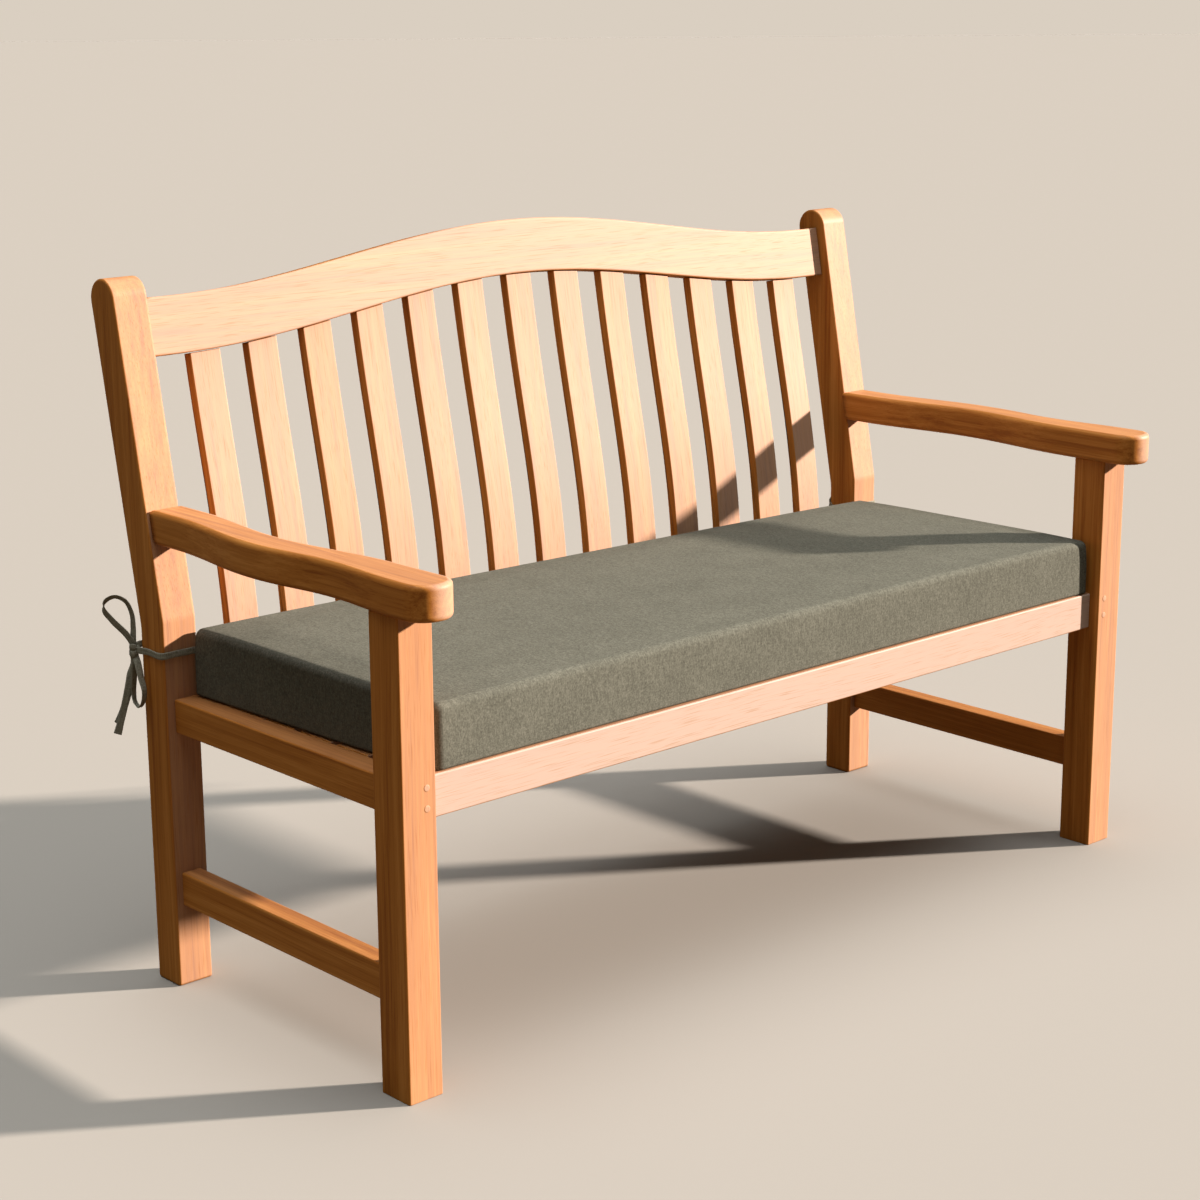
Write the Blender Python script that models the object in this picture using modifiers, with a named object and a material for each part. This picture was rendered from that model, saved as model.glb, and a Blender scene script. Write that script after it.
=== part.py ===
"""A filled seat cushion tied by its rear corners to the wooden garden bench that it fits.

Metres, +Z up. While the pieces are made, x is 0 in the middle of the bench, y is 0 on
the front faces of the front legs and grows towards the back, and z is 0 on the ground.
At the end an empty carries all pieces and shifts them along y, so that the origin is the
middle of the bench's footprint. A side is -1 on the left, at -X, and +1 on the right.
"""

from math import cos, degrees, pi, radians, sin, tan

import bmesh
import bpy
import numpy as np
from mathutils import Vector

SIDES = {"left": -1, "right": 1}
GAP = 0.0003                       # left between pieces that touch
WELD = 0.00002                     # points this close are one point
SHARP = radians(32)                # edges that turn more than this stay sharp

# ---- Bench frame
HALF_LENGTH = 0.750                # to the outer faces of legs and posts
LEG_WIDTH = 0.056
LEG_DEPTH = 0.0594
LEG_EDGE = 0.0025                  # radius of the eased edges of legs and posts
HALF_INSIDE = HALF_LENGTH - LEG_WIDTH
POST_FRONT = 0.5377                # front face of a rear post, below its bend
POST_REAR = 0.5941
POST_BEND = 0.5475                 # height where the post starts to lean
POST_LEAN = radians(10.68)
POST_TOP_DEPTH = 0.0585            # across the leaning part
POST_HEIGHT = 1.018
RAIL_EDGE = 0.0020

# ---- Seat
FRONT_RAIL_FACE = 0.017
FRONT_RAIL_THICKNESS = 0.030
FRONT_RAIL_BOTTOM = 0.375
FRONT_RAIL_TOP = 0.433
SIDE_RAIL_INSIDE = 0.696
SIDE_RAIL_OUTSIDE = 0.736
SIDE_RAIL_BOTTOM = 0.383
SEAT_LEVEL = 0.432                 # tops of side rails and seat slats
SEAT_SLATS = 6
SEAT_SLAT_WIDTH = 0.068
SEAT_SLAT_THICKNESS = 0.018
SEAT_SLATS_FRONT = 0.0601
SEAT_SLATS_REAR = 0.535
BEARER_PLACES = (-0.35, 0.0, 0.35)
BEARER_WIDTH = 0.030

# ---- Side stretchers, low between leg and post
STRETCHER_INSIDE = 0.706
STRETCHER_OUTSIDE = 0.738
STRETCHER_BOTTOM = 0.1233
STRETCHER_TOP = 0.1732

# ---- Arms: level boards, bowed outwards in plan, wider at the round front end
ARM_UNDERSIDE = 0.654
ARM_THICKNESS = 0.048
ARM_EDGE = 0.006
ARM_LINE = 0.7165                  # x of the middle line where the arm isn't bowed
ARM_BOW = 0.020
ARM_BOW_CENTRE = 0.300
ARM_BOW_REACH = 0.210              # the bow fades out this far to either side
ARM_HALF_WIDTH = 0.0275
ARM_FRONT_EXTRA = 0.0135           # added to the half width at the front
ARM_WIDENS_FROM = 0.200
ARM_WIDENS_OVER = 0.200
ARM_FRONT_END = -0.055
ARM_CORNER = 0.033                 # radius of the round front corners in plan

# ---- Back
TOP_RAIL_SETBACK = 0.0157          # behind the plane of the posts' front faces
TOP_RAIL_THICKNESS = 0.030
TOP_RAIL_TOP = 0.9875
TOP_RAIL_BOTTOM = 0.906
TOP_RAIL_CREST = 0.062             # rise of the top edge in the middle
TOP_RAIL_ARCH = 0.060              # rise of the underside in the middle
TOP_RAIL_SWEEP = 0.650             # the rise fades out at this x
LOWER_RAIL_BOTTOM = 0.395
LOWER_RAIL_TOP = 0.465
LOWER_RAIL_FRONT = 0.548
LOWER_RAIL_REAR = 0.578
BACK_SLATS_PER_SIDE = 6            # and one in the middle
BACK_SLAT_PITCH = 0.0998
BACK_SLAT_WIDTH = 0.052
BACK_SLAT_THICKNESS = 0.016
BACK_SLAT_FOOT = (0.551, 0.440)    # y and z where the front face's chord starts
BACK_SLAT_HEAD = (0.638, 0.965)
BACK_SLAT_HOLLOW = 0.0075          # how far the back curves forward at mid height
BACK_SLAT_WAVE = 0.0035

# ---- Cushion: one filled box cushion on the seat
CUSHION_BOTTOM = 0.4333
CUSHION_CORNER_TOP = 0.521
CUSHION_EDGE_RISE = 0.0055         # the top edge stands this much higher between corners
CUSHION_CROWN = 0.0015
CUSHION_FRONT = 0.021
CUSHION_REAR = 0.534
CUSHION_HALF_FRONT = 0.686         # half length at the front, between the legs
CUSHION_HALF_REAR = 0.702
CUSHION_PULL = 0.003               # how far the sides are drawn in between the corners
CUSHION_SWELL = 0.004              # how far the sides swell between the seams
CUSHION_SOFT_EDGE = 0.012          # the seams round over this far on the sides
CUSHION_SOFT_CORNER = 0.016        # and this far on the top, and round the corners
CUSHION_CUTS_ALONG = (0.0, 0.3, 0.6, 0.85)    # shares of the half length
CUSHION_CUTS_DEEP = (0.0, 0.4, 0.75)

# ---- Ties: one narrow tape at each rear corner, round the post and tied in a bow
TAPE_WIDTH = 0.010
TAPE_THICKNESS = 0.0018
TAPE_STAND_OFF = 0.0005            # clear space between the tape and the post
KNOT_OUT = 0.757                   # |x| of the knot
KNOT_BACK = 0.603
KNOT_HEIGHT = 0.4965
KNOT_RADII = (0.0072, 0.0072, 0.0082)
BAND_HEIGHT = 0.4975
BAND_LEAVES_REAR = 0.014           # the band leaves the post's rear face this far before the knot
BAND_LEAVES_SIDE = 0.020           # and its outer face this far before it
BOW_FACING = radians(42.4)         # the bow faces the front corner, this far from -Y

# Routes of the bow's parts, in millimetres from the knot, and the tape's turn in degrees:
# 0 puts its width square to the bow, 90 lays it flat in the bow.
# columns: outwards, back, up, turn
UPPER_LOOP = (
    (0.0, 0.0, 1.0, 80),
    (1.3, 1.1, 8.8, 78),
    (5.6, 5.1, 19.2, 74),
    (20.2, 18.5, 44.2, 58),
    (28.2, 25.7, 57.5, 20),
    (28.2, 25.7, 69.1, -8),
    (17.8, 16.2, 77.5, -28),
    (7.2, 6.6, 71.9, -45),
    (0.7, 0.7, 54.3, -60),
    (-0.3, -0.3, 32.3, -70),
    (0.5, 0.5, 11.8, -78),
    (0.5, 0.5, 2.0, -80),
)
LOWER_LOOP = (
    (0.3, -1.0, -1.0, 80),
    (0.6, -3.0, -7.4, 78),
    (0.8, -9.0, -17.9, 74),
    (1.0, -16.2, -38.6, 66),
    (1.0, -23.0, -55.9, 50),
    (1.0, -19.8, -71.7, 28),
    (1.0, -7.5, -83.0, 0),
    (1.0, 2.6, -78.0, -20),
    (1.0, 5.6, -66.0, -38),
    (0.8, 2.8, -44.0, -55),
    (0.5, -2.0, -14.9, -70),
    (0.3, -1.0, -2.0, -75),
)
LONG_TAIL = (
    (0.0, 0.0, -1.0, 90),
    (1.8, 1.7, -7.4, 90),
    (6.2, 5.7, -41.3, 94),
    (11.8, 10.8, -75.4, 86),
    (18.6, 17.0, -108.9, 92),
    (22.2, 20.3, -125.2, 88),
)
SHORT_TAIL = (
    (-0.5, 2.0, -1.0, 90),
    (0.5, 4.5, -8.0, 90),
    (5.0, 9.5, -42.0, 80),
    (12.5, 15.5, -76.0, 96),
    (20.5, 22.5, -104.0, 100),
    (22.3, 24.3, -110.6, 102),
)

# ---- Finishes: base colour and roughness
WOOD = ("oiled_hardwood", (0.62, 0.40, 0.24), 0.50)
COVER = ("cushion_fabric", (0.23, 0.24, 0.21), 0.90)
TAPE = ("tie_tape", (0.27, 0.27, 0.24), 0.90)


def clear_scene():
    """Remove the objects that are there, and make the two collections."""
    for old in list(bpy.data.objects):
        bpy.data.objects.remove(old, do_unlink=True)
    made = []
    for name in ("bench_with_cushion", "cutters"):
        group = bpy.data.collections.new(name)
        bpy.context.scene.collection.children.link(group)
        made.append(group)
    return made


def finish(look):
    """The material of this name, made the first time that it is asked for."""
    name, colour, roughness = look
    material = bpy.data.materials.get(name)
    if material is None:
        material = bpy.data.materials.new(name)
        material.use_nodes = True
        shader = material.node_tree.nodes["Principled BSDF"]
        shader.inputs["Base Color"].default_value = (*colour, 1.0)
        shader.inputs["Roughness"].default_value = roughness
        shader.inputs["Metallic"].default_value = 0.0
    return material


def add_object(name, mesh, look, location=(0, 0, 0), rotation=(0, 0, 0), group=None):
    """Put a mesh in the scene as a named piece."""
    piece = bpy.data.objects.new(name, mesh)
    mesh.materials.clear()
    mesh.materials.append(finish(look))
    piece.location = location
    piece.rotation_euler = rotation
    (group or bench).objects.link(piece)
    return piece


def make_cutter(piece):
    """Mark a shape as one that only cuts or joins others."""
    piece.hide_render = True
    piece.display_type = "WIRE"


def block(name, low, high, edge, look, segments=1):
    """A squared timber from its lowest to its highest corner, with eased edges."""
    low, high = np.array(low), np.array(high)
    shape = bmesh.new()
    bmesh.ops.create_cube(shape, size=1.0)
    bmesh.ops.scale(shape, vec=high - low, verts=shape.verts)
    mesh = bpy.data.meshes.new(name)
    shape.to_mesh(mesh)
    shape.free()
    piece = add_object(name, mesh, look, location=(low + high) / 2)
    bevel = piece.modifiers.new("eased_edges", "BEVEL")
    bevel.width = edge
    bevel.segments = segments
    return piece


def board(name, outline, thickness, edge, look, location=(0, 0, 0), rotation=(0, 0, 0),
          rounding=1, group=None):
    """A board from its outline in local XY, with rounded edges, centred along local Z."""
    curve = bpy.data.curves.new(name, "CURVE")
    curve.dimensions = "2D"
    curve.fill_mode = "BOTH"
    curve.extrude = thickness / 2 - edge
    curve.bevel_depth = edge
    curve.bevel_resolution = rounding
    curve.offset = -edge
    spline = curve.splines.new("POLY")
    spline.points.add(len(outline) - 1)
    for point, (across, along) in zip(spline.points, outline):
        point.co = (across, along, 0.0, 1.0)
    spline.use_cyclic_u = True
    drawn = bpy.data.objects.new(name + "_outline", curve)
    bench.objects.link(drawn)
    view = bpy.context.evaluated_depsgraph_get()
    mesh = bpy.data.meshes.new_from_object(drawn.evaluated_get(view))
    bpy.data.objects.remove(drawn, do_unlink=True)
    weld_caps(mesh)
    return add_object(name, mesh, look, location, rotation, group)


def weld_caps(mesh):
    """Join a filled curve's loose caps to its wall, with the faces pointing out."""
    shape = bmesh.new()
    shape.from_mesh(mesh)
    bmesh.ops.remove_doubles(shape, verts=shape.verts, dist=WELD)
    bmesh.ops.recalc_face_normals(shape, faces=shape.faces)
    shape.to_mesh(mesh)
    shape.free()
    mesh.shade_smooth()
    mesh.set_sharp_from_angle(angle=SHARP)


def cut(piece, cutter):
    """Take a cutter's shape off a piece."""
    boolean = piece.modifiers.new("cut_to_fit", "BOOLEAN")
    boolean.operation = "DIFFERENCE"
    boolean.solver = "EXACT"
    boolean.object = cutter


def arc(centre, radius, start, end, steps):
    """Points on a circular arc between two angles in degrees, both ends included."""
    turns = np.radians(np.linspace(start, end, steps + 1))
    return [(centre[0] + radius * cos(turn), centre[1] + radius * sin(turn)) for turn in turns]


def post_front(height):
    """y of the front face of a rear post at a height."""
    return POST_FRONT + max(0.0, height - POST_BEND) * tan(POST_LEAN)


def smooth_step(value):
    """0 below 0, 1 above 1, and a soft step between."""
    value = min(max(value, 0.0), 1.0)
    return value * value * (3 - 2 * value)


# ---- Legs, posts and rails

def front_legs():
    for name, side in SIDES.items():
        inner, outer = sorted((side * HALF_INSIDE, side * HALF_LENGTH))
        block(f"front_leg_{name}", (inner, 0, 0), (outer, LEG_DEPTH, ARM_UNDERSIDE),
              LEG_EDGE, WOOD, segments=2)


def post_outline():
    """Side view of a rear post, in y and z: straight, then leaning, with a round top."""
    along = np.array((sin(POST_LEAN), cos(POST_LEAN)))
    backwards = np.array((cos(POST_LEAN), -sin(POST_LEAN)))
    bend = np.array((POST_FRONT, POST_BEND))
    radius = POST_TOP_DEPTH / 2
    rise = (POST_HEIGHT - radius - POST_BEND + radius * sin(POST_LEAN)) / cos(POST_LEAN)
    top_centre = bend + along * rise + backwards * radius
    rear_foot = bend + backwards * POST_TOP_DEPTH
    rear_bend = rear_foot[1] + (POST_REAR - rear_foot[0]) / tan(POST_LEAN)
    lean = degrees(POST_LEAN)
    top = arc(top_centre, radius, -lean, 180 - lean, 10)
    return [(POST_FRONT, 0), (POST_REAR, 0), (POST_REAR, rear_bend), *top, tuple(bend)]


def rear_posts():
    for name, side in SIDES.items():
        board(f"rear_post_{name}", post_outline(), LEG_WIDTH, LEG_EDGE, WOOD,
              location=(side * (HALF_LENGTH - LEG_WIDTH / 2), 0, 0),
              rotation=(pi / 2, 0, pi / 2))


def seat_rails():
    half = HALF_INSIDE - GAP
    block("front_seat_rail", (-half, FRONT_RAIL_FACE, FRONT_RAIL_BOTTOM),
          (half, FRONT_RAIL_FACE + FRONT_RAIL_THICKNESS, FRONT_RAIL_TOP),
          RAIL_EDGE, WOOD, segments=2)
    for name, side in SIDES.items():
        inner, outer = sorted((side * SIDE_RAIL_INSIDE, side * SIDE_RAIL_OUTSIDE))
        block(f"side_seat_rail_{name}", (inner, LEG_DEPTH + GAP, SIDE_RAIL_BOTTOM),
              (outer, POST_FRONT - GAP, SEAT_LEVEL), RAIL_EDGE, WOOD, segments=2)


def side_stretchers():
    for name, side in SIDES.items():
        inner, outer = sorted((side * STRETCHER_INSIDE, side * STRETCHER_OUTSIDE))
        block(f"side_stretcher_{name}", (inner, LEG_DEPTH + GAP, STRETCHER_BOTTOM),
              (outer, POST_FRONT - GAP, STRETCHER_TOP), RAIL_EDGE, WOOD, segments=2)


def seat_slats():
    """Boards that lie lengthwise between the side rails, and the bearers under them."""
    half = SIDE_RAIL_INSIDE - GAP
    underside = SEAT_LEVEL - SEAT_SLAT_THICKNESS
    pitch = (SEAT_SLATS_REAR - SEAT_SLATS_FRONT - SEAT_SLAT_WIDTH) / (SEAT_SLATS - 1)
    for number in range(SEAT_SLATS):
        front = SEAT_SLATS_FRONT + number * pitch
        block(f"seat_slat_{number + 1}", (-half, front, underside),
              (half, front + SEAT_SLAT_WIDTH, SEAT_LEVEL), RAIL_EDGE, WOOD)
    front = FRONT_RAIL_FACE + FRONT_RAIL_THICKNESS + GAP
    for number, place in enumerate(BEARER_PLACES):
        block(f"seat_bearer_{number + 1}",
              (place - BEARER_WIDTH / 2, front, SIDE_RAIL_BOTTOM),
              (place + BEARER_WIDTH / 2, LOWER_RAIL_FRONT - GAP, underside - GAP),
              RAIL_EDGE, WOOD)


# ---- Arms

def arm_middle(y):
    """|x| of the arm's middle line: straight, with one smooth bow outwards."""
    reach = (y - ARM_BOW_CENTRE) / ARM_BOW_REACH
    if abs(reach) >= 1:
        return ARM_LINE
    return ARM_LINE + ARM_BOW * cos(pi * reach / 2) ** 2


def arm_half_width(y):
    """Half the arm's width, which grows towards the front end."""
    return ARM_HALF_WIDTH + ARM_FRONT_EXTRA * smooth_step((ARM_WIDENS_FROM - y) / ARM_WIDENS_OVER)


def arm_outline(side):
    """The arm's plan: its outer edge, the round front end and its inner edge."""
    rear = post_front(ARM_UNDERSIDE + ARM_THICKNESS) + ARM_THICKNESS
    corner_line = ARM_FRONT_END + ARM_CORNER
    stations = np.linspace(rear, corner_line, 22)
    half = arm_half_width(ARM_FRONT_END)
    outer = [(arm_middle(y) + arm_half_width(y), y) for y in stations[:-1]]
    inner = [(arm_middle(y) - arm_half_width(y), y) for y in stations[-2::-1]]
    outer_corner = arc((ARM_LINE + half - ARM_CORNER, corner_line), ARM_CORNER, 0, -90, 6)
    inner_corner = arc((ARM_LINE - half + ARM_CORNER, corner_line), ARM_CORNER, -90, -180, 6)
    return [(side * x, y) for x, y in outer + outer_corner + inner_corner + inner]


def arms():
    """The arms lie on the front legs and butt against the leaning posts."""
    clearance = leaning_cutter("post_clearance")
    for name, side in SIDES.items():
        arm = board(f"arm_{name}", arm_outline(side), ARM_THICKNESS, ARM_EDGE, WOOD,
                    location=(0, 0, ARM_UNDERSIDE + GAP + ARM_THICKNESS / 2))
        cut(arm, clearance)


def leaning_cutter(name):
    """A block whose front face lies just before the posts' leaning front faces."""
    size = (3 * HALF_LENGTH, POST_BEND, 2 * POST_BEND)
    shape = bmesh.new()
    bmesh.ops.create_cube(shape, size=1.0)
    bmesh.ops.scale(shape, vec=size, verts=shape.verts)
    bmesh.ops.translate(shape, vec=(0, size[1] / 2 - GAP, 0), verts=shape.verts)
    mesh = bpy.data.meshes.new(name)
    shape.to_mesh(mesh)
    shape.free()
    piece = add_object(name, mesh, WOOD, (0, POST_FRONT, POST_BEND), (-POST_LEAN, 0, 0), cutters)
    make_cutter(piece)
    return piece


# ---- Back

def rail_rise(x):
    """0 at the ends of the top rail and 1 in the middle, in one smooth sweep."""
    if abs(x) >= TOP_RAIL_SWEEP:
        return 0.0
    return cos(pi * x / (2 * TOP_RAIL_SWEEP)) ** 2


def up_the_lean(height):
    """Distance up the top rail's front face from the posts' bend to a height."""
    return (height - POST_BEND + TOP_RAIL_SETBACK * sin(POST_LEAN)) / cos(POST_LEAN)


def leaning_board(name, outline, thickness, edge, group=None):
    """A board that stands in the leaning plane of the top rail, about its middle plane."""
    depth = TOP_RAIL_SETBACK + TOP_RAIL_THICKNESS / 2
    place = (0, POST_FRONT + depth * cos(POST_LEAN), POST_BEND - depth * sin(POST_LEAN))
    return board(name, outline, thickness, edge, WOOD, place, (pi / 2 - POST_LEAN, 0, 0),
                 group=group)


def top_rail():
    half = HALF_INSIDE - GAP
    stations = np.linspace(-half, half, 33)
    under = [(x, up_the_lean(TOP_RAIL_BOTTOM + TOP_RAIL_ARCH * rail_rise(x))) for x in stations]
    over = [(x, up_the_lean(TOP_RAIL_TOP + TOP_RAIL_CREST * rail_rise(x))) for x in stations]
    leaning_board("top_rail", under + over[::-1], TOP_RAIL_THICKNESS, RAIL_EDGE)


def rail_clearance():
    """All that lies above the top rail's underside, for cutting the slats to length."""
    half = HALF_INSIDE
    stations = np.linspace(-half, half, 33)
    under = [(x, up_the_lean(TOP_RAIL_BOTTOM + TOP_RAIL_ARCH * rail_rise(x)) - GAP / cos(POST_LEAN))
             for x in stations]
    above = up_the_lean(POST_HEIGHT + TOP_RAIL_CREST)
    piece = leaning_board("rail_clearance", under + [(half, above), (-half, above)],
                          10 * TOP_RAIL_THICKNESS, 0.0, cutters)
    make_cutter(piece)
    return piece


def lower_back_rail():
    half = HALF_INSIDE - GAP
    block("lower_back_rail", (-half, LOWER_RAIL_FRONT, LOWER_RAIL_BOTTOM),
          (half, LOWER_RAIL_REAR, LOWER_RAIL_TOP), RAIL_EDGE, WOOD)


def slat_front(height):
    """y of a back slat's front face: a leaning chord, hollowed into a slow S."""
    (foot_y, foot_z), (head_y, head_z) = BACK_SLAT_FOOT, BACK_SLAT_HEAD
    share = (height - foot_z) / (head_z - foot_z)
    chord = foot_y + (head_y - foot_y) * share
    return chord - BACK_SLAT_HOLLOW * sin(pi * share) - BACK_SLAT_WAVE * sin(2 * pi * share)


def back_slats():
    """Thirteen slats on the lower rail, cut to the curved underside of the top rail."""
    clearance = rail_clearance()
    depth = BACK_SLAT_THICKNESS / cos(POST_LEAN)
    heights = np.linspace(LOWER_RAIL_TOP + GAP, TOP_RAIL_TOP, 11)
    front = [(slat_front(height), height) for height in heights]
    rear = [(y + depth, height) for y, height in front]
    for number in range(2 * BACK_SLATS_PER_SIDE + 1):
        x = (number - BACK_SLATS_PER_SIDE) * BACK_SLAT_PITCH
        slat = board(f"back_slat_{number + 1:02d}", front[::-1] + rear, BACK_SLAT_WIDTH,
                     RAIL_EDGE, WOOD, (x, 0, 0), (pi / 2, 0, pi / 2), rounding=0)
        cut(slat, clearance)


# ---- Cushion

def cushion_point(along, deep, high):
    """Where a point of the -1 to 1 cube lies on the cushion.

    The plan tapers from the rear to the front, the sides are drawn in between the
    corners and swell at mid height, and the top rises from its corners to a low crown.
    """
    rise = 2 - along ** 6 - deep ** 4
    top = (CUSHION_CORNER_TOP + CUSHION_EDGE_RISE * rise
           + CUSHION_CROWN * (1 - along ** 2) * (1 - deep ** 2))
    swell = CUSHION_SWELL * (1 - high ** 2)
    half_length = (CUSHION_HALF_FRONT + CUSHION_HALF_REAR) / 2
    half_length += deep * (CUSHION_HALF_REAR - CUSHION_HALF_FRONT) / 2
    half_length += swell - CUSHION_SWELL - CUSHION_PULL * (1 - deep ** 2)
    half_depth = (CUSHION_REAR - CUSHION_FRONT) / 2 + swell - CUSHION_SWELL
    half_depth -= CUSHION_PULL * (1 - along ** 8)
    return (along * half_length,
            (CUSHION_FRONT + CUSHION_REAR) / 2 + deep * half_depth,
            CUSHION_BOTTOM + (top - CUSHION_BOTTOM) * (high + 1) / 2)


def cushion():
    """A cube with cuts near its edges, laid out by cushion_point and then smoothed."""
    half_depth = (CUSHION_REAR - CUSHION_FRONT) / 2
    near_end = 1 - CUSHION_SOFT_CORNER / CUSHION_HALF_REAR
    near_side = 1 - CUSHION_SOFT_CORNER / half_depth
    near_seam = 1 - 2 * CUSHION_SOFT_EDGE / (CUSHION_CORNER_TOP - CUSHION_BOTTOM)
    cuts = [CUSHION_CUTS_ALONG + (near_end,), CUSHION_CUTS_DEEP + (near_side,), (0.0, near_seam)]
    shape = bmesh.new()
    bmesh.ops.create_cube(shape, size=2.0)
    for axis, places in enumerate(cuts):
        square = Vector((0, 0, 0))
        square[axis] = 1.0
        for place in sorted({sign * share for share in places for sign in (-1, 1)}):
            everything = shape.verts[:] + shape.edges[:] + shape.faces[:]
            bmesh.ops.bisect_plane(shape, geom=everything, plane_co=square * place, plane_no=square)
    for vert in shape.verts:
        vert.co = cushion_point(*vert.co)
    mesh = bpy.data.meshes.new("cushion")
    shape.to_mesh(mesh)
    shape.free()
    mesh.shade_smooth()
    piece = add_object("cushion", mesh, COVER)
    smoothing = piece.modifiers.new("soft_edges", "SUBSURF")
    smoothing.levels = 1
    smoothing.render_levels = 1


# ---- Ties

def smooth_route(rows, count):
    """Points spread evenly on a smooth curve through the rows, in all their columns."""
    rows = np.array(rows, float)
    steps = np.linalg.norm(np.diff(rows[:, :3], axis=0), axis=1)
    reach = np.concatenate(([0.0], np.cumsum(steps)))
    slopes = np.gradient(rows, reach, axis=0)
    wanted = np.linspace(0.0, reach[-1], count)
    start = np.clip(np.searchsorted(reach, wanted) - 1, 0, len(rows) - 2)
    span = (reach[start + 1] - reach[start])[:, None]
    share = (wanted - reach[start])[:, None] / span
    return ((2 * share ** 3 - 3 * share ** 2 + 1) * rows[start]
            + (share ** 3 - 2 * share ** 2 + share) * span * slopes[start]
            + (3 * share ** 2 - 2 * share ** 3) * rows[start + 1]
            + (share ** 3 - share ** 2) * span * slopes[start + 1])


def tape_strip(name, middle, across, side):
    """A strip of tape along its middle line, its width along the given directions."""
    outwards = np.array((side, 1.0, 1.0))
    near = (middle - across * TAPE_WIDTH / 2) * outwards
    far = (middle + across * TAPE_WIDTH / 2) * outwards
    shape = bmesh.new()
    rows = [[shape.verts.new(point) for point in pair] for pair in zip(near, far)]
    for (a, b), (c, d) in zip(rows, rows[1:]):
        shape.faces.new((a, b, d, c))
    mesh = bpy.data.meshes.new(name)
    shape.to_mesh(mesh)
    shape.free()
    piece = add_object(name, mesh, TAPE, group=cutters)
    wall = piece.modifiers.new("tape_thickness", "SOLIDIFY")
    wall.thickness = TAPE_THICKNESS
    wall.offset = 0.0
    make_cutter(piece)
    return piece


def bow_strip(name, rows, count, side):
    """A part of the bow, from its table; the first number of a point counts outwards."""
    knot = np.array((KNOT_OUT, KNOT_BACK, KNOT_HEIGHT))
    route = smooth_route(rows, count)
    middle = knot + route[:, :3] * 0.001
    turn = np.radians(route[:, 3:])
    depth = np.array((-sin(BOW_FACING), cos(BOW_FACING), 0.0))
    heading = np.gradient(middle, axis=0)
    sideways = np.cross(depth, heading)
    sideways /= np.linalg.norm(sideways, axis=1)[:, None]
    across = np.cos(turn) * depth + np.sin(turn) * sideways
    across /= np.linalg.norm(across, axis=1)[:, None]
    return tape_strip(name, middle, across, side)


def band_route():
    """The tape's way round the post in plan, from the knot and back to it."""
    off = TAPE_STAND_OFF + TAPE_THICKNESS / 2
    turn = LEG_EDGE + off
    inside = HALF_INSIDE + LEG_EDGE
    outside = HALF_LENGTH - LEG_EDGE
    front = POST_FRONT + LEG_EDGE
    rear = POST_REAR - LEG_EDGE
    knot = (KNOT_OUT, KNOT_BACK)
    return [knot, (KNOT_OUT - BAND_LEAVES_REAR, POST_REAR + off),
            *arc((inside, rear), turn, 90, 180, 3),
            *arc((inside, front), turn, 180, 270, 3),
            *arc((outside, front), turn, 270, 360, 3),
            (HALF_LENGTH + off, KNOT_BACK - BAND_LEAVES_SIDE), knot]


def ties():
    """At each rear corner one tape runs round the post and is tied in a bow."""
    for name, side in SIDES.items():
        plan = np.array(band_route())
        band = np.column_stack((plan, np.full(len(plan), BAND_HEIGHT)))
        upright = np.tile((0.0, 0.0, 1.0), (len(band), 1))
        strips = [tape_strip(f"band_{name}", band, upright, side),
                  bow_strip(f"upper_loop_{name}", UPPER_LOOP, 26, side),
                  bow_strip(f"lower_loop_{name}", LOWER_LOOP, 26, side),
                  bow_strip(f"long_tail_{name}", LONG_TAIL, 12, side),
                  bow_strip(f"short_tail_{name}", SHORT_TAIL, 11, side)]
        shape = bmesh.new()
        bmesh.ops.create_uvsphere(shape, u_segments=12, v_segments=8, radius=1.0)
        bmesh.ops.scale(shape, vec=KNOT_RADII, verts=shape.verts)
        mesh = bpy.data.meshes.new(f"tie_{name}")
        shape.to_mesh(mesh)
        shape.free()
        knot = add_object(f"tie_{name}", mesh, TAPE, (side * KNOT_OUT, KNOT_BACK, KNOT_HEIGHT))
        for strip in strips:
            union = knot.modifiers.new(strip.name, "BOOLEAN")
            union.operation = "UNION"
            union.solver = "EXACT"
            union.use_self = True
            union.object = strip


# ---- The whole

def set_origin():
    """Carry all pieces on an empty that centres the bench's footprint on the origin."""
    bpy.context.view_layer.update()
    view = bpy.context.evaluated_depsgraph_get()
    reach = []
    for piece in bench.objects:
        if not piece.name.startswith("tie_"):
            solid = piece.evaluated_get(view)
            reach += [(solid.matrix_world @ Vector(corner)).y for corner in solid.bound_box]
    centre = bpy.data.objects.new("bench_origin", None)
    centre.location = (0, -(min(reach) + max(reach)) / 2, 0)
    for piece in list(bench.objects) + list(cutters.objects):
        piece.parent = centre
    bench.objects.link(centre)


bench, cutters = clear_scene()
front_legs()
rear_posts()
seat_rails()
side_stretchers()
seat_slats()
arms()
lower_back_rail()
top_rail()
back_slats()
cushion()
ties()
set_origin()
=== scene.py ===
"""A filled seat cushion, tied by its rear corners to the wooden garden bench that it fits.

Everything is in metres in the frame of the solids: +Z up, the bench's front towards -Y,
its left end at -X. The sections follow the thing as it is put together and looked at:
the view, the ties, the timbers from the ground up, the cushion, then floor and light.
"""
from math import cos, pi, radians, sin, tan

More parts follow.
